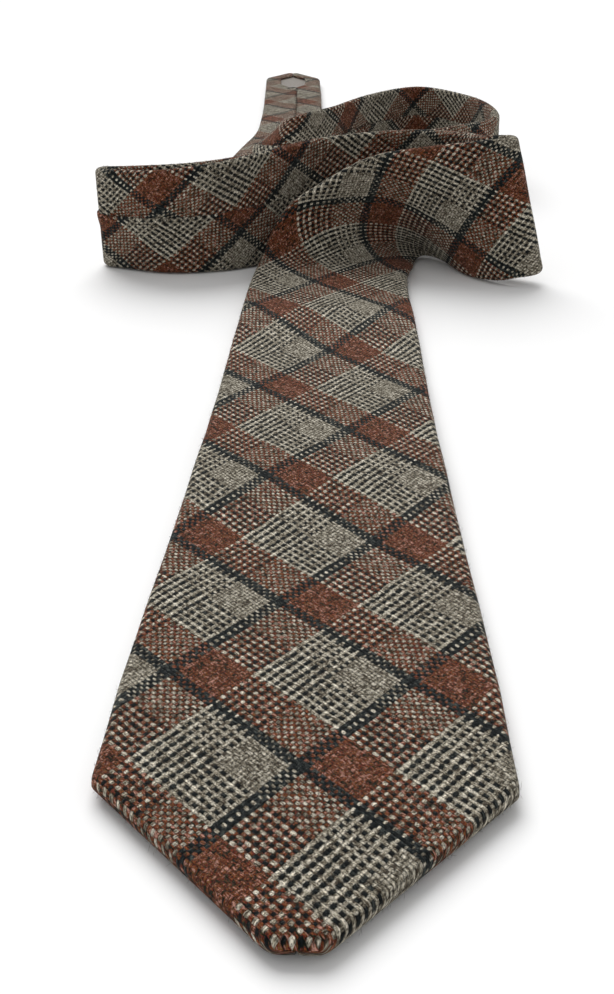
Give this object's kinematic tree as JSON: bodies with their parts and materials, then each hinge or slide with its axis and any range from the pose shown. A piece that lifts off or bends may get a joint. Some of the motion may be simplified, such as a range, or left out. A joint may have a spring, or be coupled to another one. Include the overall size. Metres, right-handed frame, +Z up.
{
  "type": "necktie",
  "caption": "Plaid tweed necktie laid on a table: wide blade flat, neck in loose standing folds, tail flat behind.",
  "frame": {"origin": "on the floor, under the middle of the laid-out tie's box", "axes": "+Y along the blade from its point towards the tail, +X across the blade to the right, +Z up"},
  "size_m": [0.192, 0.927, 0.061],
  "materials": {
    "tweed": "woven wool plaid: rust, cream, grey and charcoal, hairy and matte",
    "interlining": "brushed wool interlining, matte",
    "tipping": "plain lining twill, soft sheen",
    "thread": "sewing thread, matte",
    "label": "blank woven satin label"
  },
  "bodies": {
    "blade": {"blade_shell": "tweed", "interlining_blade": "interlining", "blade_tipping": "tipping", "slip_stitch_blade": "thread", "bar_tack_blade": "thread", "keeper_loop": "tweed", "maker_label": "label", "care_label": "label"},
    "front_run": {"blade_shell_turn": "tweed", "interlining_turn": "interlining", "slip_stitch_turn": "thread"},
    "middle_run": {"blade_shell_middle": "tweed", "interlining_middle": "interlining", "slip_stitch_middle": "thread"},
    "back_loop": {"neck_shell": "tweed", "tail_shell_loop": "tweed", "interlining_loop": "interlining", "slip_stitch_loop": "thread"},
    "tail": {"tail_shell": "tweed", "interlining_tail": "interlining", "tail_tipping": "tipping", "slip_stitch_tail": "thread", "bar_tack_tail": "thread"}
  },
  "joints": [
    {"name": "front_fold_open", "type": "hinge", "parent": "middle_run", "child": "front_run", "pos_m": [0.0962, -0.0645, 0.031], "axis": [0, 0, 1], "range_deg": [0, 25]},
    {"name": "blade_lift", "type": "hinge", "parent": "front_run", "child": "blade", "pos_m": [0.00464, -0.12055, 0.00581], "axis": [-1, 0, 0], "range_deg": [0, 55]},
    {"name": "left_fold_open", "type": "hinge", "parent": "middle_run", "child": "back_loop", "pos_m": [-0.0962, -0.0543, 0.022], "axis": [0, 0, 1], "range_deg": [0, 20]},
    {"name": "tail_lift", "type": "hinge", "parent": "back_loop", "child": "tail", "pos_m": [-0.02521, 0.26732, 0.00595], "axis": [1, 0, 0], "range_deg": [0, 55]}
  ]
}
